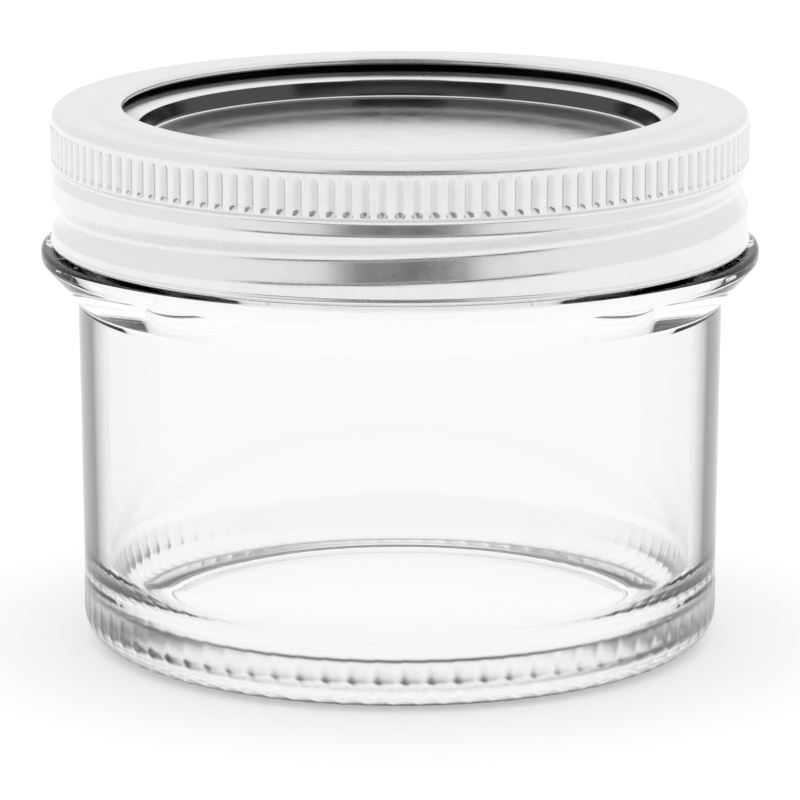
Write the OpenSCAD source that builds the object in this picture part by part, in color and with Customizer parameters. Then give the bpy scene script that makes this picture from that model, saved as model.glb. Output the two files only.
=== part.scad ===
// Small squat canning jar with a two-piece metal closure: a pressed glass jar,
// a recessed lid disc with a rubbery sealing ring bonded under its rim,
// and a knurled screw band that holds the disc down.
// The origin is the middle of the foot, +Z points up and all sizes are in millimetres.
// The closed jar is drawn. Each part stacks on the one below, from the rim of the glass up.

/* [Glass body] */
// Height of the glass, from the table to the sealing rim
glass_h = 54.7; // [53.5:0.1:64]
// Outside diameter of the body where the heel ends
body_base_d = 65.6; // [64:0.1:66.4]
// Outside diameter of the body under the shoulder
body_top_d = 66.5; // [65.7:0.1:68]
// Height at which the body ends and the shoulder flares out to the bead
body_top_z = 36.0; // [30:0.1:37]
// Thickness of the body wall
wall = 2.7; // [2.2:0.1:3.2]
// Thickness of the floor over the foot ring
floor_t = 3.6; // [3:0.1:5]
// Height of the hollow under the floor, which leaves a foot ring
push_up = 1.2; // [0.6:0.1:1.8]
// Width of the foot ring that the jar stands on
foot_w = 3.0; // [2:0.1:5]
// Radius of the heel between the foot and the body
heel_r = 3.2; // [2:0.1:4]
// Radius inside, between the floor and the wall
inner_corner_r = 6.5; // [4:0.1:9]

/* [Glass neck] */
// Diameter of the bead that guards the lower edge of the band
bead_d = 74.0; // [73:0.1:76]
// Height of the upright edge of the bead
bead_h = 1.3; // [1:0.1:2]
// Outside diameter of the neck, under its threads
neck_d = 66.4; // [66:0.1:67.2]
// Inside diameter of the mouth
mouth_d = 60.2; // [59.4:0.1:60.6]
// Radius at both edges of the sealing rim
rim_r = 1.1; // [0.6:0.1:1.2]
// Depth below the rim at which the bore starts to widen into the body
bore_depth = 11.5; // [8:0.1:13]

/* [Sealing ring] */
// Thickness of the ring under the disc
seal_t = 0.45; // [0.3:0.05:0.8]
// Overhang of the ring past the inner and the outer edge of the sealing rim
seal_overhang = 0.4; // [0.1:0.05:0.5]

/* [Lid disc] */
// Diameter of the disc
disc_d = 68.2; // [67.8:0.1:69]
// Thickness of the disc's sheet
disc_t = 0.23; // [0.2:0.01:0.3]
// Width of the flat land that presses the sealing ring down
land_w = 3.8; // [3.3:0.1:4]
// Depth of the turned-down outer edge below the land
edge_drop = 0.55; // [0.3:0.05:0.7]
// Diameter of the recessed panel at its lip
lip_d = 53.6; // [50:0.1:54]
// Depth of that lip below the land
lip_drop = 1.45; // [1.2:0.05:1.8]
// Diameter of the panel at its floor
panel_d = 52.4; // [46:0.1:53]
// Depth of the panel below the land
panel_drop = 3.35; // [2.4:0.05:4]

/* [Screw band] */
// Height of the band
band_h = 14.3; // [13:0.1:15]
// Thickness of the band's sheet
band_t = 0.28; // [0.22:0.01:0.35]
// Diameter of the window in the top
window_d = 57.0; // [55:0.1:58]
// Radius of the bead rolled at the window's edge
window_curl_r = 0.45; // [0.35:0.01:0.5]
// Diameter of the raised inner part of the top
plateau_d = 62.8; // [61:0.1:64]
// Height of the step from the outer to the raised part of the top
step_h = 0.35; // [0.2:0.05:0.6]
// Width of that step
step_w = 0.8; // [0.5:0.1:1.2]
// Radius between the top and the side
corner_r = 1.0; // [0.6:0.1:1.2]
// Radius of the bead rolled at the lower edge
hem_r = 0.42; // [0.35:0.01:0.5]
// How far that bead stands out past the skirt
hem_proud = 0.12; // [0:0.02:0.3]

/* [Knurl and waist] */
// Number of flutes round the band
flutes = 134; // [100:1:140]
// Length of a flute
flute_len = 3.8; // [3:0.1:4.5]
// Depth of a flute
flute_depth = 0.26; // [0.15:0.01:0.3]
// Radius of the groove that makes a flute
flute_r = 0.55; // [0.4:0.01:0.6]
// Distance from the top corner to the flutes
flute_inset = 0.35; // [0.2:0.05:0.6]
// Thickness of the wall behind the knurl, pressed thicker than the sheet
knurl_wall = 0.5; // [0.45:0.01:0.6]
// Depth of the waist pressed in under the knurl
waist_depth = 0.4; // [0.2:0.05:0.6]
// Height of the waist's sloping lower side
waist_h = 1.6; // [1:0.1:2.5]

/* [Fit] */
// Room between the neck and the inside of the band, which the threads take up
thread_room = 2.4; // [2:0.05:2.8]
// Gap between the lower edge of the band and the bead
band_gap = 0.3; // [0.2:0.05:1]

/* [Hidden] */

// Facets shown on what is turned
turn_fn = 180;
// Steps round each rolled bead
roll_steps = 18;
// Facets shown on the flutes
flute_fn = 28;

// Radii of the glass
body_base_r = body_base_d / 2;
body_top_r = body_top_d / 2;
bead_r = bead_d / 2;
neck_r = neck_d / 2;
mouth_r = mouth_d / 2;
foot_in_r = body_base_r - heel_r - foot_w;

// Heights of the stack, from the rim of the glass up
land_z = glass_h + seal_t + disc_t;
shoulder_z = land_z + band_t;
band_top_z = shoulder_z + step_h;
band_low_z = band_top_z - band_h;
bead_top_z = band_low_z - band_gap;

// Radii of the band
skirt_r = neck_r + thread_room + band_t;
plateau_r = plateau_d / 2;
window_r = window_d / 2;

// Angles at which the faces of the sheet meet the beads
window_join = asin((window_curl_r - band_t) / window_curl_r);
hem_out_join = acos((hem_r - hem_proud) / hem_r);
hem_in_join = acos((hem_r - hem_proud - band_t) / hem_r);

// Heights on the side of the band
flute_top_z = shoulder_z - corner_r - flute_inset;
flute_low_z = flute_top_z - flute_len;

// Unit vector along v
function unit(v) = v / norm(v);

// Arc that rounds corner p, between the points a and b before and after it
function rounded_corner(a, p, b, r) =
    let (
        u = unit(a - p),
        v = unit(b - p),
        half = acos(u * v) / 2,
        c = p + unit(u + v) * r / sin(half),
        s = p + u * r / tan(half) - c,
        e = p + v * r / tan(half) - c,
        first = atan2(s[1], s[0]),
        turn = (atan2(e[1], e[0]) - first + 540) % 360 - 180,
        steps = 4 + ceil(r)
    )
    [for (i = [0 : steps])
        let (w = first + turn * i / steps)
        c + r * [cos(w), sin(w)]];

// Outline through corners given as [radius from the axis, height, rounding]
function rounded(corners) =
    let (
        p = [for (q = corners) [q[0], q[1]]],
        last = len(p) - 1
    )
    [for (i = [0 : last])
        each (i == 0 || i == last || corners[i][2] == 0
            ? [p[i]]
            : rounded_corner(p[i - 1], p[i], p[i + 1], corners[i][2]))];

// Right-hand normal of a path at point i, lengthened at a bend so that offsets stay parallel
function bend_normal(p, i) =
    let (
        a = unit(i == 0 ? p[1] - p[0] : p[i] - p[i - 1]),
        b = unit(i == len(p) - 1 ? p[i] - p[i - 1] : p[i + 1] - p[i]),
        m = unit(a + b)
    )
    [m[1], -m[0]] / (m * a);

// Path p moved to its right-hand side by t
function beside(p, t) = [for (i = [0 : len(p) - 1]) p[i] + t * bend_normal(p, i)];

// The points of a list from the last to the first
function backwards(p) = [for (i = [len(p) - 1 : -1 : 0]) p[i]];

// Section of a sheet of thickness t whose outer face follows path p
function sheet(p, t) = concat(p, backwards(beside(p, t)));

// Clockwise arc about centre c, from the angle first to the angle last, which is the lower
function rolled(c, r, first, last) =
    [for (i = [0 : roll_steps])
        let (w = first + (last - first) * i / roll_steps)
        c + r * [cos(w), sin(w)]];

// The glass, from the middle of the foot, up the outside and down the inside
module glass_jar() {
    inner_base_r = body_base_r - wall;
    inner_top_r = body_top_r - wall;
    widen_h = 2 * (inner_top_r - mouth_r) + 2;
    outline = rounded([
        [0, push_up, 0],
        [foot_in_r - 2 * push_up, push_up, 2 * push_up],
        [foot_in_r, 0, 0.4],
        [body_base_r, 0, heel_r],
        [body_top_r, body_top_z, 1.5],
        [bead_r, bead_top_z - bead_h, 1],
        [bead_r, bead_top_z, 0.55],
        [neck_r, bead_top_z, 0.8],
        [neck_r, glass_h, rim_r],
        [mouth_r, glass_h, rim_r],
        [mouth_r, glass_h - bore_depth, 3],
        [inner_top_r, glass_h - bore_depth - widen_h, 3],
        [inner_base_r, floor_t, inner_corner_r],
        [0, floor_t, 0]
    ]);
    color([0.85, 0.9, 0.9, 0.35])
        rotate_extrude($fn = turn_fn)
            polygon(outline);
}

// Flat ring of compound that rests on the sealing rim
module sealing_ring() {
    inner_r = mouth_r + rim_r - seal_overhang;
    outer_r = neck_r - rim_r + seal_overhang;
    color([0.25, 0.25, 0.24])
        translate([0, 0, glass_h])
            rotate_extrude($fn = turn_fn)
                translate([inner_r, 0])
                    square([outer_r - inner_r, seal_t]);
}

// Thin disc: land, slope under the window's bead, steep wall and sunk panel
module lid_disc() {
    disc_r = disc_d / 2;
    path = rounded([
        [0, land_z - panel_drop, 0],
        [panel_d / 2, land_z - panel_drop, 0.6],
        [lip_d / 2, land_z - lip_drop, 0.6],
        [window_r + window_curl_r, land_z - lip_drop / 2, 0.8],
        [disc_r - land_w, land_z, 0.6],
        [disc_r, land_z, disc_t + 0.12],
        [disc_r, land_z - edge_drop, 0]
    ]);
    color([0.82, 0.83, 0.84])
        rotate_extrude($fn = turn_fn)
            polygon(sheet(path, disc_t));
}

// Section of the band: a sheet from the window to the lower edge, rolled to a bead at both.
// The outline runs round the window's bead, along the outside, round the lower bead and back.
module band_section() {
    window_c = [window_r + window_curl_r, band_top_z - window_curl_r];
    hem_c = [skirt_r + hem_proud - hem_r, band_low_z + hem_r];
    outside = rounded([
        [window_c[0], band_top_z, 0],
        [plateau_r, band_top_z, 0.4],
        [plateau_r + step_w, shoulder_z, 0.4],
        [skirt_r, shoulder_z, corner_r],
        [skirt_r, flute_low_z, 0.3],
        [skirt_r - waist_depth, flute_low_z - waist_depth, 0.3],
        [skirt_r, flute_low_z - waist_depth - waist_h, 1],
        [skirt_r, band_low_z + 2 * hem_r, 0]
    ]);
    inside = rounded([
        [window_c[0] + window_curl_r, band_top_z - band_t, 0],
        [plateau_r, band_top_z - band_t, 0.3],
        [plateau_r + step_w, land_z, 0.5],
        [skirt_r - band_t, land_z, corner_r - band_t],
        [skirt_r - band_t, flute_top_z + band_t, 0.1],
        [skirt_r - knurl_wall, flute_top_z, 0.1],
        [skirt_r - knurl_wall, flute_low_z, 0],
        [skirt_r - waist_depth - band_t, flute_low_z - waist_depth, 0.1],
        [skirt_r - band_t, flute_low_z - waist_depth - waist_h, 1],
        [skirt_r - band_t, band_low_z + 2 * hem_r, 0]
    ]);
    polygon(concat(
        rolled(window_c, window_curl_r, window_join, -270),
        outside,
        rolled(hem_c, hem_r, hem_out_join, hem_in_join - 360),
        backwards(inside)
    ));
}

// The band, with its flutes cut round the upper part of the side
module screw_band() {
    color([0.78, 0.79, 0.8])
        difference() {
            rotate_extrude($fn = turn_fn)
                band_section();
            for (i = [0 : flutes - 1])
                rotate([0, 0, i * 360 / flutes])
                    translate([skirt_r + flute_r - flute_depth, 0, flute_low_z])
                        cylinder(h = flute_len, r = flute_r, $fn = flute_fn);
        }
}

glass_jar();
sealing_ring();
lid_disc();
screw_band();
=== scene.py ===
"""Dressed model of a small canning jar with a disc and screw band, in a white studio."""

import math

import bmesh
import bpy
import numpy as np
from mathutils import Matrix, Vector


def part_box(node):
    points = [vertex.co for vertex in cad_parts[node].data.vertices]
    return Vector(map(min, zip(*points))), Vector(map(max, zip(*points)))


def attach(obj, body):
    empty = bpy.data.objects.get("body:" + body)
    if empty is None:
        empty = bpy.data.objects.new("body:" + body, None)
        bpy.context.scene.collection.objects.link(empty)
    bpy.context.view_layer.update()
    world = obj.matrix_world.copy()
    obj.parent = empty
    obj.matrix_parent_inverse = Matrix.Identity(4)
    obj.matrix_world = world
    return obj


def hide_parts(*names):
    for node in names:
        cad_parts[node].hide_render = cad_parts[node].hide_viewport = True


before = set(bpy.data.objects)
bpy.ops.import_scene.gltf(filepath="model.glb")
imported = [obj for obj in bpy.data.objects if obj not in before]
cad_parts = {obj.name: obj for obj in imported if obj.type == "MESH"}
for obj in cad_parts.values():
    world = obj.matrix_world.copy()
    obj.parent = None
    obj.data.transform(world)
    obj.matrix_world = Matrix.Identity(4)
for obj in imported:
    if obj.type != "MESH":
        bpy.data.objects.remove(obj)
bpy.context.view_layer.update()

# All sizes of the pieces are in millimetres, with radii from the jar's axis
MM = 0.001

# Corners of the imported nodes' boxes, from which the main sizes are taken
glass_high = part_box("glass_jar")[1] / MM
ring_low, ring_high = (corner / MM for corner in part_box("sealing_ring"))
disc_low, disc_high = (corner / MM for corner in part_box("lid_disc"))
band_low, band_high = (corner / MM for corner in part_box("screw_band"))

# Sheet of the band, with the rolled bead of its window and its rolled hem
BAND_T = 0.28
WINDOW_R = 28.5
CURL_R = 0.45
HEM_R = 0.42
HEM_PROUD = 0.12
PLATEAU_R = 31.4
STEP_W = 0.8
CORNER_R = 1.0
KNURL_T = 0.5
WAIST_DEPTH = 0.5
WAIST_H = 1.3
# Straight stretch between the flutes and the waist
WAIST_MARGIN = 0.1

# Roundings of the band's sheet
STEP_ROUND = 0.4
STEP_UNDER_ROUND = 0.3
STEP_FOOT_ROUND = 0.5
KNURL_TOP_ROUND = 0.2
KNURL_FOOT_ROUND = 0.1
WAIST_EDGE_ROUND = 0.3
WAIST_ROUND = 0.35
WAIST_UNDER_ROUND = 0.1
WAIST_END_ROUND = 1.0

# Points within this distance of the skirt's radius are on its outside
OUTSIDE_MARGIN = 0.1
# The thread groove moves what lies within this distance inside the skirt's radius
SKIRT_REACH = 2.0
# Where the inside of the band carries painted shade, a dark metal that stands for the shade under
# the band:
# down to this distance below the disc's land, and on the first steps of the window bead, which
# start inside
PAINTED_SHADE_REACH = 0.6
PAINTED_SHADE_CURL_STEPS = 12

# Flutes; the half width is a share of the pitch
FLUTES = 134
FLUTE_LEN = 3.8
FLUTE_DEPTH = 0.3
FLUTE_HALF_WIDTH = 0.28
FLUTE_FULLNESS = 0.8
FLUTE_END = 0.42
FLUTE_INSET = 0.35

# Thread groove rolled into the band, with its reach above and below its middle
THREAD_PITCH = 6.35
THREAD_MID_Z = 46.45
THREAD_DEPTH = 1.0
THREAD_ABOVE = 1.7
THREAD_BELOW = 2.4
# Share of a flank that its bottom rounds off
THREAD_SOFT = 0.12
# Heights above the band's lower edge over which the groove comes in
THREAD_LOW_FADE = (1.3, 2.2)
# Heights below the flutes over which it goes out
THREAD_HIGH_FADE = (1.3, 0.4)
# Degrees to the right of the front over which it starts and ends
THREAD_START = (-235, -195)
THREAD_END = (165, 215)

# Disc: its sheet, the recessed panel with the lip of its wall, and the outer land
DISC_T = 0.23
PANEL_R = 26.4
PANEL_ROUND = 0.5
LIP_R = 26.8
LIP_DROP = 1.45
LIP_ROUND = 0.3
RISE_ROUND = 0.8
LAND_W = 3.8
LAND_ROUND = 0.6
DISC_EDGE_H = 0.55
DISC_EDGE_ROUND = DISC_T + 0.12
# The painted shade on the panel's wall: its reach from the wall's middle, and the share
# of the wall's height at which a point carries it
WALL_PAINTED_SHADE_REACH = 0.8
WALL_POINT = 0.8

# Sealing ring
RING_INSET = 0.7
RING_TOP_ROUND = 0.15
RING_FOOT_ROUND = 0.2

# Outside of the glass
PUSH_UP = 1.2
FOOT_W = 3.0
FOOT_ROUND = 0.4
HEEL_R = 3.2
BODY_BASE_R = 32.8
BODY_TOP_R = 33.25
BODY_TOP_Z = 36.0
SHOULDER_ROUND = 1.5
BEAD_H = 1.3
BEAD_LOW_ROUND = 1.0
BEAD_TOP_ROUND = 0.55
BAND_GAP = 0.3
NECK_R = 33.2
NECK_FOOT_ROUND = 0.8
RIM_R = 1.1

# Inside of the glass; the bore widens to the body over a height that grows with the step
WALL = 2.7
FLOOR_T = 3.6
MOUTH_R = 30.1
BORE_DEPTH = 11.5
WIDEN_SLOPE = 2
WIDEN_MIN_H = 2
WIDEN_ROUND = 3.0
FLOOR_ROUND = 6.5

# Thread on the glass, whose middle runs a little above the groove's
GLASS_THREAD_RISE = 0.9
GLASS_THREAD_DEPTH = 1.55
GLASS_THREAD_HALF_H = 1.05
GLASS_THREAD_FULLNESS = 0.6
GLASS_THREAD_START = (-225, -195)
GLASS_THREAD_END = (150, 190)
GLASS_THREAD_ABOVE_BEAD = 1.0
GLASS_THREAD_BELOW_RIM = 1.2
# Points within this distance of the neck's radius are on its outside
NECK_MARGIN = 0.01

# Crescents on the heel. Each row has its middle and its half height, in degrees
# round the heel's section, and its shift and lean, in shares of the pitch
CRESCENTS = 78
CRESCENT_ROWS = ((84, 26, 0.0, 0.35), (38, 20, 0.45, 0.3))
CRESCENT_HEIGHT = 0.06
CRESCENT_BOW = 0.42
CRESCENT_SHIFT = 0.1
CRESCENT_WIDTH = 0.17
CRESCENT_FULLNESS = 0.7
# The rows' reach above the heel's round, and inwards from its start
CRESCENT_REACH_UP = 2.5
CRESCENT_REACH_IN = 0.4

# Finish of the metal, with the shade of the turned rings against its colour, and the
# share by which the mottle spreads its roughness
BAND_COLOUR = (0.79, 0.79, 0.795)
# Painted shade: the dark metal that stands for the shade inside the band and its curl
PAINTED_SHADE_COLOUR = (0.16, 0.16, 0.16)
DISC_COLOUR = (0.84, 0.84, 0.845)
TURNING_SHADE = 0.955
GLOSS_SPREAD = 0.15

# Finish of the glass. It bends light less than real glass, and the bead less than
# the body, so that both stay as clear as in the photograph
GLASS_IOR = 1.42
BEAD_IOR = 1.2
HEEL_ROUGHNESS = 0.22
# Where the heel's glass ends: its top, and its reach inwards from the heel's round
HEEL_GLASS_TOP_Z = 5.2
HEEL_GLASS_REACH_IN = 1.0
# Reach of the bead's glass below the body's top and above the bead
BEAD_GLASS_BELOW = 0.5
BEAD_GLASS_ABOVE = 0.9
# Heights, in metres, over which the painted dark reflection on the body's edges comes in and goes
# out
PAINTED_EDGE_LOW = (0.006, 0.010)
PAINTED_EDGE_HIGH = (0.036, 0.0355)

# Fineness of the meshes: steps round the axis, steps on the beads, longest stretches
FLUTE_STEPS = 10
DISC_STEPS = 512
RING_STEPS = 360
CRESCENT_STEPS = 12
CURL_STEPS = 20
HEM_STEPS = 16
BAND_OUTSIDE_STRETCH = 0.28
BAND_INSIDE_STRETCH = 0.4
NECK_STRETCH = 0.35
BODY_STRETCH = 4.0
# The neck's short stretches lie outside this radius and above this height
NECK_STRETCH_R = 33.0
NECK_STRETCH_Z = 40.0
# Edges sharper than this stay sharp, in degrees
METAL_SHARP = 50
SOFT_SHARP = 60
# Points this near to the axis, in metres, are merged
AXIS_MARGIN = 1e-6

# Camera that was fitted to the ellipses of the photograph, in metres, degrees and mm
CAMERA_AT = (0.0, -0.591, 0.1556)
CAMERA_PITCH = 12.5
LENS = 262.4
SENSOR_W = 36

# Studio, in metres. The floor is a hair under the foot, so that the two faces don't
# coincide. The flags' elevations count from FLAG_MIDDLE_Z
FLOOR_Z = -0.00015
FLOOR_HALF_W = 6
FLAG_DISTANCE = 0.7
FLAG_MIDDLE_Z = 0.05
FLAG_STEPS = 24

land_z = disc_high.z
panel_z = disc_low.z + DISC_T
lip_z = land_z - LIP_DROP
disc_r = disc_high.x
band_top_z = band_high.z
band_low_z = band_low.z
skirt_r = band_high.x - HEM_PROUD
shoulder_z = land_z + BAND_T
flute_top_z = shoulder_z - CORNER_R - FLUTE_INSET
flute_low_z = flute_top_z - FLUTE_LEN
waist_z = flute_low_z - WAIST_DEPTH
waist_end_z = waist_z - WAIST_H
hem_top_z = band_low_z + 2 * HEM_R
glass_h = glass_high.z
bead_r = glass_high.x
bead_top_z = band_low_z - BAND_GAP
heel_centre_r = BODY_BASE_R - HEEL_R


def rounded(corners, fineness=1.0):
    """Points of an outline through [radius, height, rounding] corners."""
    points = []
    last = len(corners) - 1
    for i, (r, z, rounding) in enumerate(corners):
        corner = np.array([r, z])
        if i in (0, last) or rounding == 0:
            points.append(corner)
            continue
        back = np.array(corners[i - 1][:2]) - corner
        ahead = np.array(corners[i + 1][:2]) - corner
        back /= np.linalg.norm(back)
        ahead /= np.linalg.norm(ahead)
        half = math.acos(np.clip(back @ ahead, -1, 1)) / 2
        bisector = (back + ahead) / np.linalg.norm(back + ahead)
        centre = corner + bisector * rounding / math.sin(half)
        start = corner + back * rounding / math.tan(half) - centre
        end = corner + ahead * rounding / math.tan(half) - centre
        first = math.atan2(start[1], start[0])
        turn = (math.atan2(end[1], end[0]) - first + 3 * math.pi) % (2 * math.pi) - math.pi
        steps = max(4, int(fineness * (4 + abs(turn) * rounding * 4)))
        for k in range(steps + 1):
            angle = first + turn * k / steps
            points.append(centre + rounding * np.array([math.cos(angle), math.sin(angle)]))
    return np.array(points)


def arc(centre, radius, first, last, steps):
    """Points of an arc, with angles in degrees."""
    angle = np.radians(np.linspace(first, last, steps + 1))
    return np.stack([centre[0] + radius * np.cos(angle), centre[1] + radius * np.sin(angle)], 1)


def refined(points, longest):
    """The same outline cut to stretches of at most a length, given for all or for each."""
    limits = np.broadcast_to(longest, len(points) - 1)
    out = []
    for a, b, limit in zip(points[:-1], points[1:], limits):
        n = max(1, math.ceil(np.linalg.norm(b - a) / limit))
        out.extend(a + (b - a) * k / n for k in range(n))
    out.append(points[-1])
    return np.array(out)


def beside(points, distance):
    """An open outline moved to its right-hand side."""
    step = np.diff(points, axis=0)
    step /= np.linalg.norm(step, axis=1, keepdims=True)
    before = np.vstack([step[:1], step])
    after = np.vstack([step, step[-1:]])
    mean = before + after
    mean /= np.linalg.norm(mean, axis=1, keepdims=True)
    scale = distance / np.sum(mean * before, axis=1)
    return points + np.stack([mean[:, 1], -mean[:, 0]], 1) * scale[:, None]


def angles_round(steps):
    """Angles of the steps round the axis, as a column."""
    return np.linspace(0, 2 * math.pi, steps, endpoint=False)[:, None]


def turned(name, outline, steps, move=None, closed=True):
    """Revolves an outline; move(r, z, angle) gives the new r and z of every point.

    A closed outline runs on from its last point to its first.
    """
    angle = angles_round(steps)
    n = len(outline)
    r = np.tile(outline[:, 0], (steps, 1))
    z = np.tile(outline[:, 1], (steps, 1))
    if move is not None:
        r, z = move(r, z, angle)
    verts = np.stack([r * np.cos(angle), r * np.sin(angle), z], -1).reshape(-1, 3) * MM
    column = np.arange(steps)[:, None] * n
    next_column = (column + n) % (steps * n)
    row = np.arange(n if closed else n - 1)[None, :]
    next_row = (row + 1) % n
    corners = [column + row, next_column + row, next_column + next_row, column + next_row]
    quads = np.stack(corners, -1).reshape(-1, 4)
    mesh = bpy.data.meshes.new(name)
    mesh.vertices.add(len(verts))
    mesh.vertices.foreach_set("co", verts.ravel())
    mesh.loops.add(quads.size)
    mesh.loops.foreach_set("vertex_index", quads.ravel().astype(np.int32))
    mesh.polygons.add(len(quads))
    mesh.polygons.foreach_set("loop_start", np.arange(0, quads.size, 4, dtype=np.int32))
    mesh.polygons.foreach_set("loop_total", np.full(len(quads), 4, dtype=np.int32))
    mesh.update(calc_edges=True)
    mesh.validate()
    obj = bpy.data.objects.new(name, mesh)
    bpy.context.scene.collection.objects.link(obj)
    return obj


def give_materials(obj, materials, kind, steps):
    """Gives the piece its materials; kind is each outline stretch's place among them."""
    for material in materials:
        obj.data.materials.append(material)
    obj.data.polygons.foreach_set("material_index", np.tile(kind, steps).astype(np.int32))


def mark_painted_shade(obj, values):
    """Marks each point of the piece, from 0 to 1, for the painted shade in its metal."""
    painted_shade = obj.data.attributes.new("painted_shade", "FLOAT", "POINT")
    painted_shade.data.foreach_set("value", values.ravel().astype(np.float32))


def close_surface(obj, sharp_angle):
    """Merges the points on the axis, turns the faces outwards and shades them smooth."""
    mesh = obj.data
    bm = bmesh.new()
    bm.from_mesh(mesh)
    on_axis = [v for v in bm.verts if v.co.xy.length < AXIS_MARGIN]
    bmesh.ops.remove_doubles(bm, verts=on_axis, dist=AXIS_MARGIN)
    bmesh.ops.recalc_face_normals(bm, faces=bm.faces)
    bm.to_mesh(mesh)
    bm.free()
    mesh.polygons.foreach_set("use_smooth", np.ones(len(mesh.polygons), dtype=bool))
    mesh.set_sharp_from_angle(angle=math.radians(sharp_angle))
    mesh.update()


def fade(x, low, high):
    """Smooth step from 0 at low to 1 at high."""
    t = np.clip((x - low) / (high - low), 0, 1)
    return t * t * (3 - 2 * t)


def helix(z, angle, mid_z, start, end, section):
    """Height of a thread at a height and an angle.

    section(off) is its height at a distance above its middle, which is at mid_z at the front.
    """
    # Degrees to the right of the front, which faces -Y
    around = (np.degrees(angle) + 90 + 180) % 360 - 180
    height = np.zeros(np.broadcast(z, angle).shape)
    for lap in (-360, 0, 360):
        at = around + lap
        off = z - (mid_z + THREAD_PITCH * at / 360)
        here = fade(at, *start) * (1 - fade(at, *end))
        height = np.maximum(height, section(off) * here)
    return height


def groove_section(off):
    """Section of the band's groove, from 0 to 1: a straight flank each side, soft in the middle."""
    reach = np.where(off > 0, THREAD_ABOVE, THREAD_BELOW)
    flank = (np.hypot(off / reach, THREAD_SOFT) - THREAD_SOFT) / (1 - THREAD_SOFT)
    return np.clip(1 - flank, 0, 1)


def ridge_section(off):
    """Section of the glass thread, from 0 to 1."""
    return np.clip(1 - (off / GLASS_THREAD_HALF_H) ** 2, 0, 1) ** GLASS_THREAD_FULLNESS


def thread_groove(z, angle):
    """Depth of the groove rolled into the band at a height and an angle."""
    depth = helix(z, angle, THREAD_MID_Z, THREAD_START, THREAD_END, groove_section)
    low_end = fade(z, *(band_low_z + h for h in THREAD_LOW_FADE))
    high_end = 1 - fade(z, *(flute_low_z - h for h in THREAD_HIGH_FADE))
    return THREAD_DEPTH * depth * low_end * high_end


def flute_shape(z, angle):
    """Depth of the flutes at a height and an angle, as a share of the full depth."""
    share = (angle * FLUTES / (2 * math.pi)) % 1 - 0.5
    across = np.clip(1 - (share / FLUTE_HALF_WIDTH) ** 2, 0, 1) ** FLUTE_FULLNESS
    from_end = np.minimum(z - flute_low_z, flute_top_z - z)
    return across * np.sin(np.clip(from_end / FLUTE_END, 0, 1) * math.pi / 2)


def move_band(r, z, angle):
    """Presses the thread groove through the sheet and the flutes into its outside."""
    r = r - np.where(r > skirt_r - SKIRT_REACH, thread_groove(z, angle), 0)
    outside = r > skirt_r - OUTSIDE_MARGIN
    return r - np.where(outside, FLUTE_DEPTH * flute_shape(z, angle), 0), z


def band_outline():
    """Closed outline of the band's sheet, and which of its stretches carry painted shade."""
    curl_c = (WINDOW_R + CURL_R, band_top_z - CURL_R)
    hem_c = (skirt_r + HEM_PROUD - HEM_R, band_low_z + HEM_R)
    outside = refined(rounded([
        [curl_c[0], band_top_z, 0],
        [PLATEAU_R, band_top_z, STEP_ROUND],
        [PLATEAU_R + STEP_W, shoulder_z, STEP_ROUND],
        [skirt_r, shoulder_z, CORNER_R],
        [skirt_r, flute_low_z - WAIST_MARGIN, WAIST_EDGE_ROUND],
        [skirt_r - WAIST_DEPTH, waist_z - WAIST_MARGIN, WAIST_ROUND],
        [skirt_r, waist_end_z, WAIST_END_ROUND],
        [skirt_r, hem_top_z, 0],
    ], fineness=1.6), BAND_OUTSIDE_STRETCH)
    inside = refined(rounded([
        [curl_c[0] + CURL_R, band_top_z - BAND_T, 0],
        [PLATEAU_R, band_top_z - BAND_T, STEP_UNDER_ROUND],
        [PLATEAU_R + STEP_W, land_z, STEP_FOOT_ROUND],
        [skirt_r - BAND_T, land_z, CORNER_R - BAND_T],
        [skirt_r - KNURL_T, flute_top_z, KNURL_TOP_ROUND],
        [skirt_r - KNURL_T, flute_low_z, KNURL_FOOT_ROUND],
        [skirt_r - WAIST_DEPTH - BAND_T, waist_z, WAIST_UNDER_ROUND],
        [skirt_r - BAND_T, waist_end_z, WAIST_END_ROUND],
        [skirt_r - BAND_T, hem_top_z, 0],
    ]), BAND_INSIDE_STRETCH)
    curl_join = math.degrees(math.asin((CURL_R - BAND_T) / CURL_R))
    hem_out = math.degrees(math.acos((HEM_R - HEM_PROUD) / HEM_R))
    hem_in = math.degrees(math.acos((HEM_R - HEM_PROUD - BAND_T) / HEM_R))
    outline = np.vstack([
        arc(curl_c, CURL_R, curl_join, -270, CURL_STEPS)[:-1],
        outside,
        arc(hem_c, HEM_R, hem_out, hem_in - 360, HEM_STEPS),
        inside[::-1],
    ])
    place = np.arange(len(outline))
    on_inside = place >= len(outline) - len(inside) - 1
    dark = on_inside & (outline[:, 1] > land_z - PAINTED_SHADE_REACH) | (place < PAINTED_SHADE_CURL_STEPS)
    return outline, dark


def make_band(outside_metal, painted_shade_metal):
    outline, dark = band_outline()
    steps = FLUTES * FLUTE_STEPS
    band = turned("screw_band_rolled", outline, steps, move_band)
    # Stretches under the band's top and inside its curl take the dark metal of painted shade
    give_materials(band, [outside_metal, painted_shade_metal], dark, steps)
    outside = outline[:, 0] > skirt_r - OUTSIDE_MARGIN
    # The flutes' hollows carry painted shade, strongest where they are deepest
    mark_painted_shade(band, np.where(outside, flute_shape(outline[:, 1], angles_round(steps)), 0))
    close_surface(band, METAL_SHARP)
    return band


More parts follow.
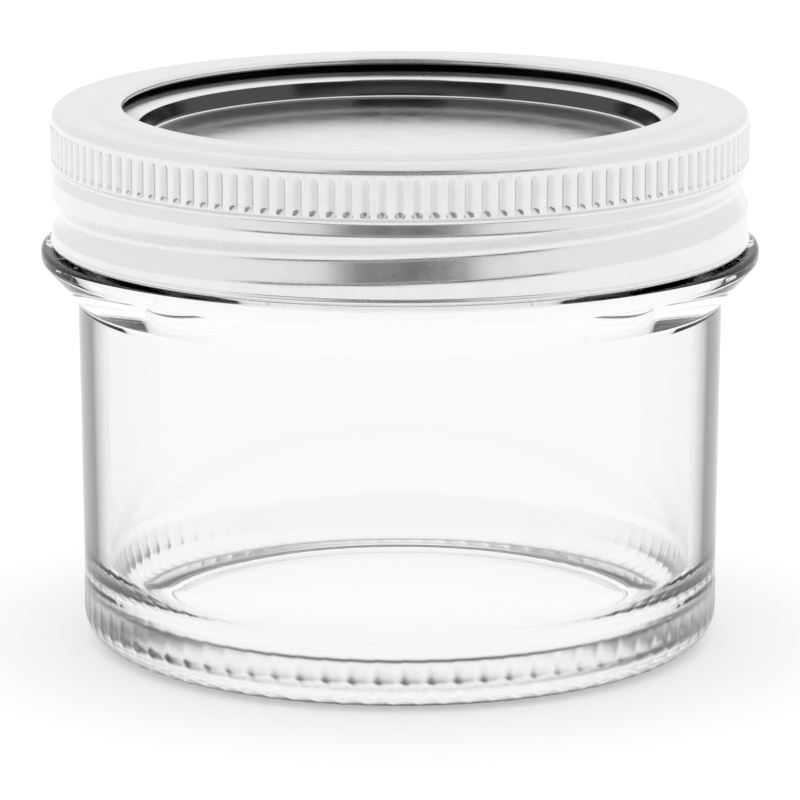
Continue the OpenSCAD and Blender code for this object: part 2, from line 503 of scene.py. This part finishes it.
def make_disc(metal_above, lining_below):
    wall_r = PANEL_R + WALL_POINT * (LIP_R - PANEL_R)
    wall_z = panel_z + WALL_POINT * (lip_z - panel_z)
    outline_above = rounded([
        [0, panel_z, 0],
        [PANEL_R, panel_z, PANEL_ROUND],
        [wall_r, wall_z, 0],
        [LIP_R, lip_z, LIP_ROUND],
        [WINDOW_R + CURL_R, land_z - LIP_DROP / 2, RISE_ROUND],
        [disc_r - LAND_W, land_z, LAND_ROUND],
        [disc_r, land_z, DISC_EDGE_ROUND],
        [disc_r, land_z - DISC_EDGE_H, 0],
    ], fineness=2)
    outline = np.vstack([outline_above, beside(outline_above, DISC_T)[::-1]])
    below = np.arange(len(outline) - 1) >= len(outline_above)
    # Points on the panel's wall carry the painted shade
    wall = np.abs(outline[:, 1] - (lip_z + panel_z) / 2) < WALL_PAINTED_SHADE_REACH
    disc = turned("lid_disc_pressed", outline, DISC_STEPS, closed=False)
    give_materials(disc, [metal_above, lining_below], below, DISC_STEPS)
    mark_painted_shade(disc, np.tile(wall, DISC_STEPS))
    close_surface(disc, METAL_SHARP)
    return disc


def make_ring(material):
    mouth_side_r = MOUTH_R + RING_INSET
    middle_z = (ring_low.z + ring_high.z) / 2
    outline = rounded([
        [mouth_side_r, middle_z, 0],
        [mouth_side_r, ring_high.z, RING_TOP_ROUND],
        [ring_high.x, ring_high.z, RING_TOP_ROUND],
        [ring_high.x, ring_low.z, RING_FOOT_ROUND],
        [mouth_side_r, ring_low.z, RING_FOOT_ROUND],
        [mouth_side_r, middle_z, 0],
    ], fineness=2)[:-1]
    ring = turned("sealing_ring_poured", outline, RING_STEPS)
    ring.data.materials.append(material)
    close_surface(ring, SOFT_SHARP)
    return ring


def crescents(r, z, angle):
    """Height of the crescents on the heel, from 0 to 1, in two rows."""
    steep = np.degrees(np.arctan2(r - heel_centre_r, HEEL_R - z))
    height = np.zeros(r.shape)
    for middle, half_height, shift, lean in CRESCENT_ROWS:
        row = (steep - middle) / half_height
        share = (angle * CRESCENTS / (2 * math.pi) + shift + lean * row) % 1 - 0.5
        off = share + CRESCENT_BOW * row ** 2 - CRESCENT_SHIFT
        along = np.clip(1 - row ** 2, 0, 1) ** CRESCENT_FULLNESS
        height = np.maximum(height, np.exp(-(off / CRESCENT_WIDTH) ** 2) * along)
    return height


def move_glass(r, z, angle):
    """Raises the thread on the neck and the crescents on the heel."""
    on_neck = (z > bead_top_z + GLASS_THREAD_ABOVE_BEAD) & (z < glass_h - GLASS_THREAD_BELOW_RIM)
    on_neck &= r > NECK_R - NECK_MARGIN
    mid_z = THREAD_MID_Z + GLASS_THREAD_RISE
    ridge = helix(z, angle, mid_z, GLASS_THREAD_START, GLASS_THREAD_END, ridge_section)
    r = r + np.where(on_neck, GLASS_THREAD_DEPTH * ridge, 0)
    on_heel = (z < HEEL_R + CRESCENT_REACH_UP) & (r > heel_centre_r - CRESCENT_REACH_IN)
    rise = CRESCENT_HEIGHT * np.where(on_heel, crescents(r, z, angle), 0)
    steep = np.arctan2(r - heel_centre_r, np.maximum(HEEL_R - z, 0))
    return r + rise * np.sin(steep), z - np.minimum(rise * np.cos(steep), z)


def glass_outline():
    """Outline of the glass, up its outside from the foot and down its inside to the floor."""
    foot_in_r = heel_centre_r - FOOT_W
    inner_top_r = BODY_TOP_R - WALL
    bore_low_z = glass_h - BORE_DEPTH
    widen_h = WIDEN_SLOPE * (inner_top_r - MOUTH_R) + WIDEN_MIN_H
    outline = rounded([
        [0, PUSH_UP, 0],
        [foot_in_r - 2 * PUSH_UP, PUSH_UP, 2 * PUSH_UP],
        [foot_in_r, 0, FOOT_ROUND],
        [BODY_BASE_R, 0, HEEL_R],
        [BODY_TOP_R, BODY_TOP_Z, SHOULDER_ROUND],
        [bead_r, bead_top_z - BEAD_H, BEAD_LOW_ROUND],
        [bead_r, bead_top_z, BEAD_TOP_ROUND],
        [NECK_R, bead_top_z, NECK_FOOT_ROUND],
        [NECK_R, glass_h, RIM_R],
        [MOUTH_R, glass_h, RIM_R],
        [MOUTH_R, bore_low_z, WIDEN_ROUND],
        [inner_top_r, bore_low_z - widen_h, WIDEN_ROUND],
        [BODY_BASE_R - WALL, FLOOR_T, FLOOR_ROUND],
        [0, FLOOR_T, 0],
    ], fineness=2)
    low_z = np.minimum(outline[:-1, 1], outline[1:, 1])
    on_neck = (outline[:-1, 0] > NECK_STRETCH_R) & (low_z > NECK_STRETCH_Z)
    return refined(outline, np.where(on_neck, NECK_STRETCH, BODY_STRETCH))


def make_glass():
    outline = glass_outline()
    r, z = outline[:-1].T
    inside = np.arange(len(z)) > np.argmax(outline[:, 1])
    heel = (z < HEEL_GLASS_TOP_Z) & (r > heel_centre_r - HEEL_GLASS_REACH_IN)
    bead = (z > BODY_TOP_Z - BEAD_GLASS_BELOW) & (z < bead_top_z + BEAD_GLASS_ABOVE)
    materials = [
        # The body's outside carries a painted dark reflection along its edges
        clear_glass("clear_glass", painted_dark_edge=True),
        clear_glass("clear_glass_inside"),
        clear_glass("clear_glass_heel", roughness=HEEL_ROUGHNESS),
        clear_glass("clear_glass_bead", ior=BEAD_IOR),
    ]
    steps = CRESCENTS * CRESCENT_STEPS
    glass = turned("glass_jar_pressed", outline, steps, move_glass, closed=False)
    give_materials(glass, materials, np.select([inside, heel, bead], [1, 2, 3], 0), steps)
    close_surface(glass, SOFT_SHARP)
    return glass


def new_material(name):
    """A new material, its node tree and its shader."""
    material = bpy.data.materials.new(name)
    material.use_nodes = True
    tree = material.node_tree
    return material, tree, tree.nodes["Principled BSDF"]


def fill(tree, node, inputs):
    """Gives a node's inputs their values: numbers, colours, or outputs to link to."""
    for key, value in inputs.items():
        if isinstance(value, bpy.types.NodeSocket):
            tree.links.new(value, node.inputs[key])
        elif isinstance(value, tuple):
            node.inputs[key].default_value = (*value, 1)
        else:
            node.inputs[key].default_value = value


def add_node(tree, kind, inputs=None, **settings):
    """Adds a shader node with its settings and its inputs."""
    node = tree.nodes.new("ShaderNode" + kind)
    for key, value in settings.items():
        setattr(node, key, value)
    fill(tree, node, inputs or {})
    return node


def calculated(tree, operation, *values):
    """Result of a Math node."""
    return add_node(tree, "Math", dict(enumerate(values)), operation=operation).outputs[0]


def ranged(tree, value, given, wanted=(0, 1)):
    """A value mapped from the given range to the wanted one, and held to it."""
    inputs = {
        "Value": value,
        "From Min": given[0],
        "From Max": given[1],
        "To Min": wanted[0],
        "To Max": wanted[1],
    }
    return add_node(tree, "MapRange", inputs).outputs[0]


def mixed(tree, factor, a, b):
    """A colour between a and b."""
    inputs = {"Factor": factor, "A": a, "B": b}
    return add_node(tree, "Mix", inputs, data_type="RGBA").outputs["Result"]


def ramped(tree, factor, stops):
    """A colour ramp's result; its stops are (position, colour) from the lowest up."""
    node = add_node(tree, "ValToRGB", {0: factor})
    elements = node.color_ramp.elements
    for element, (position, colour) in zip(elements, (stops[0], stops[-1])):
        element.position = position
        element.color = (*colour, 1)
    for position, colour in stops[1:-1]:
        elements.new(position).color = (*colour, 1)
    return node.outputs[0]


def noise(tree, inputs):
    """A noise texture's value."""
    return add_node(tree, "TexNoise", inputs).outputs["Fac"]


def add_relief(tree, shader, height, strength, distance):
    """Bump from a height; the distance is in metres."""
    inputs = {"Strength": strength, "Distance": distance, "Height": height}
    relief = add_node(tree, "Bump", inputs)
    tree.links.new(relief.outputs["Normal"], shader.inputs["Normal"])


def object_place(tree):
    return add_node(tree, "TexCoord").outputs["Object"]


def turned_place(tree, place):
    """A place as its distance from the axis and its height, the same all the way round."""
    x, y, z = add_node(tree, "SeparateXYZ", {0: place}).outputs
    square_x = calculated(tree, "MULTIPLY", x, x)
    square_r = calculated(tree, "MULTIPLY_ADD", y, y, square_x)
    r = calculated(tree, "SQRT", square_r)
    return add_node(tree, "CombineXYZ", {0: r, 2: z}).outputs[0]


def metal(name, colour, roughness, bump, ring_scale, painted_shade_grey=0.66):
    """Satin tinplate: fine turned rings in its colour and relief, and a mottled gloss.

    It takes a grey of painted shade where the point attribute for that shade marks it.
    """
    material, tree, shader = new_material(name)
    place = object_place(tree)
    rings = noise(tree, {"Vector": turned_place(tree, place), "Scale": ring_scale, "Detail": 3})
    mottle = noise(tree, {"Vector": place, "Scale": 420, "Detail": 4})
    tint = mixed(tree, rings, tuple(TURNING_SHADE * c for c in colour), colour)
    spread = (roughness * (1 - GLOSS_SPREAD), roughness * (1 + GLOSS_SPREAD))
    painted_shade = add_node(tree, "Attribute", attribute_name="painted_shade").outputs["Fac"]
    fill(tree, shader, {
        "Metallic": 1.0,
        "Roughness": ranged(tree, mottle, (0.3, 0.7), spread),
        "Base Color": mixed(tree, painted_shade, tint, (painted_shade_grey, painted_shade_grey, painted_shade_grey)),
    })
    add_relief(tree, shader, rings, strength=bump, distance=0.00002)
    return material


def painted_dark_edge_colour(tree):
    """Colour of the body's outside, with a painted dark reflection where it turns away from the
    eye.
    """
    facing = add_node(tree, "LayerWeight", {"Blend": 0.5}).outputs["Facing"]
    height = add_node(tree, "SeparateXYZ", {0: object_place(tree)}).outputs[2]
    above_heel = ranged(tree, height, PAINTED_EDGE_LOW)
    under_bead = ranged(tree, height, PAINTED_EDGE_HIGH)
    on_body = calculated(tree, "MULTIPLY", above_heel, under_bead)
    return ramped(tree, calculated(tree, "MULTIPLY", facing, on_body), [
        (0.1, (0.978, 0.98, 0.98)),
        (0.32, (0.968, 0.97, 0.97)),
        (0.6, (0.85, 0.852, 0.852)),
        (0.72, (0.03, 0.03, 0.03)),
    ])


def clear_glass(name, painted_dark_edge=False, roughness=0.0, ior=GLASS_IOR):
    """Clear pressed glass with a faint waviness, and a painted dark reflection on its edges where
    it is asked for.
    """
    material, tree, shader = new_material(name)
    fill(tree, shader, {
        "Base Color": painted_dark_edge_colour(tree) if painted_dark_edge else (0.992, 0.996, 0.996),
        "Roughness": roughness,
        "IOR": ior,
        "Transmission Weight": 1.0,
    })
    wave = noise(tree, {"Vector": object_place(tree), "Scale": 60, "Detail": 1})
    add_relief(tree, shader, wave, strength=0.08, distance=0.0004)
    return material


def enamel():
    """White lining baked on the underside of the disc, a little uneven in gloss."""
    material, tree, shader = new_material("white_liner")
    patches = noise(tree, {"Scale": 300})
    fill(tree, shader, {
        "Base Color": (0.86, 0.86, 0.85),
        "Roughness": ranged(tree, patches, (0, 1), (0.4, 0.6)),
    })
    return material


def compound():
    """Matt sealing compound with a fine grain."""
    material, tree, shader = new_material("seal_compound")
    grain = noise(tree, {"Scale": 2500})
    fill(tree, shader, {
        "Base Color": ramped(tree, grain, [(0, (0.07, 0.07, 0.068)), (1, (0.11, 0.11, 0.106))]),
        "Roughness": 0.7,
    })
    return material


def studio_white(direct, through):
    """White surface that keeps shadows, with added light for the camera and for reflections.

    Rays that come through the glass see plain light of the second strength instead.
    """
    material, tree, shader = new_material("studio_white")
    path = add_node(tree, "LightPath").outputs
    seen = calculated(tree, "MAXIMUM", path["Is Camera Ray"], path["Is Glossy Ray"])
    through_glass = path["Is Transmission Ray"]
    level = add_node(tree, "Mix", {
        "Factor": through_glass,
        "A": calculated(tree, "MULTIPLY", seen, direct),
        "B": through,
    })
    fill(tree, shader, {
        "Base Color": mixed(tree, through_glass, (0.9, 0.9, 0.9), (0, 0, 0)),
        "Roughness": 1.0,
        "Specular IOR Level": 0.0,
        "Emission Color": (1, 1, 1),
        "Emission Strength": level.outputs[0],
    })
    return material


def matt(name, grey):
    material, tree, shader = new_material(name)
    colour = (grey, grey, grey)
    fill(tree, shader, {"Base Color": colour, "Roughness": 1.0, "Specular IOR Level": 0.0})
    return material


def studio_piece(name, verts, faces, material):
    """A piece of the studio, which isn't part of the object; its points are in metres."""
    mesh = bpy.data.meshes.new(name)
    mesh.from_pydata(verts, [], faces)
    mesh.materials.append(material)
    obj = bpy.data.objects.new(name, mesh)
    bpy.context.scene.collection.objects.link(obj)
    return obj


def make_flag(name, azimuth, elevations, grey):
    """A curved flag round the jar, as far as an azimuth to each side of the front, in degrees.

    Only reflections see it, so that metal has something dark to show.
    """
    verts = []
    for k in range(FLAG_STEPS + 1):
        angle = math.radians(azimuth * (2 * k / FLAG_STEPS - 1))
        for elevation in elevations:
            z = FLAG_MIDDLE_Z + FLAG_DISTANCE * math.tan(math.radians(elevation))
            verts.append((FLAG_DISTANCE * math.sin(angle), -FLAG_DISTANCE * math.cos(angle), z))
    faces = [(2 * k, 2 * k + 2, 2 * k + 3, 2 * k + 1) for k in range(FLAG_STEPS)]
    flag = studio_piece(name, verts, faces, matt(name + "_grey", grey))
    flag.visible_camera = False
    flag.visible_shadow = False
    flag.visible_diffuse = False
    flag.visible_transmission = False


def make_studio():
    w = FLOOR_HALF_W
    corners = [(-w, -w, FLOOR_Z), (w, -w, FLOOR_Z), (w, w, FLOOR_Z), (-w, w, FLOOR_Z)]
    studio_piece("studio_floor", corners, [(0, 1, 2, 3)], studio_white(direct=0.24, through=0.97))
    make_flag("low_flag", azimuth=50, elevations=(2, 16), grey=0.004)
    make_flag("high_flag", azimuth=24, elevations=(22, 50), grey=0.16)
    world = bpy.data.worlds.new("studio")
    bpy.context.scene.world = world
    world.use_nodes = True
    background = world.node_tree.nodes["Background"]
    background.inputs["Color"].default_value = (1, 1, 1, 1)
    background.inputs["Strength"].default_value = 1.0


def make_camera():
    data = bpy.data.cameras.new("camera")
    data.lens = LENS
    data.sensor_width = SENSOR_W
    data.clip_start = 0.01
    data.clip_end = 50
    camera = bpy.data.objects.new("camera", data)
    camera.location = CAMERA_AT
    camera.rotation_euler = (math.radians(90 - CAMERA_PITCH), 0, 0)
    bpy.context.scene.collection.objects.link(camera)
    bpy.context.scene.camera = camera


make_camera()
make_studio()

band = make_band(
    # Its flutes darken towards the default grey of painted shade
    metal("band_metal", BAND_COLOUR, roughness=0.26, bump=0.25, ring_scale=2600),
    # The dark metal inside the band is painted shade
    metal("band_painted_shade", PAINTED_SHADE_COLOUR, roughness=0.35, bump=0.1, ring_scale=1500),
)
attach(band, "band")
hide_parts("screw_band")

disc = make_disc(
    # The panel's wall darkens to a near-black painted shade
    metal("disc_metal", DISC_COLOUR, roughness=0.14, bump=0.12, ring_scale=1800, painted_shade_grey=0.07),
    enamel(),
)
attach(disc, "lid")
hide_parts("lid_disc")

ring = make_ring(compound())
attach(ring, "lid")
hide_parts("sealing_ring")

glass = make_glass()
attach(glass, "jar")
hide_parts("glass_jar")

bpy.context.scene.view_settings.view_transform = "Standard"
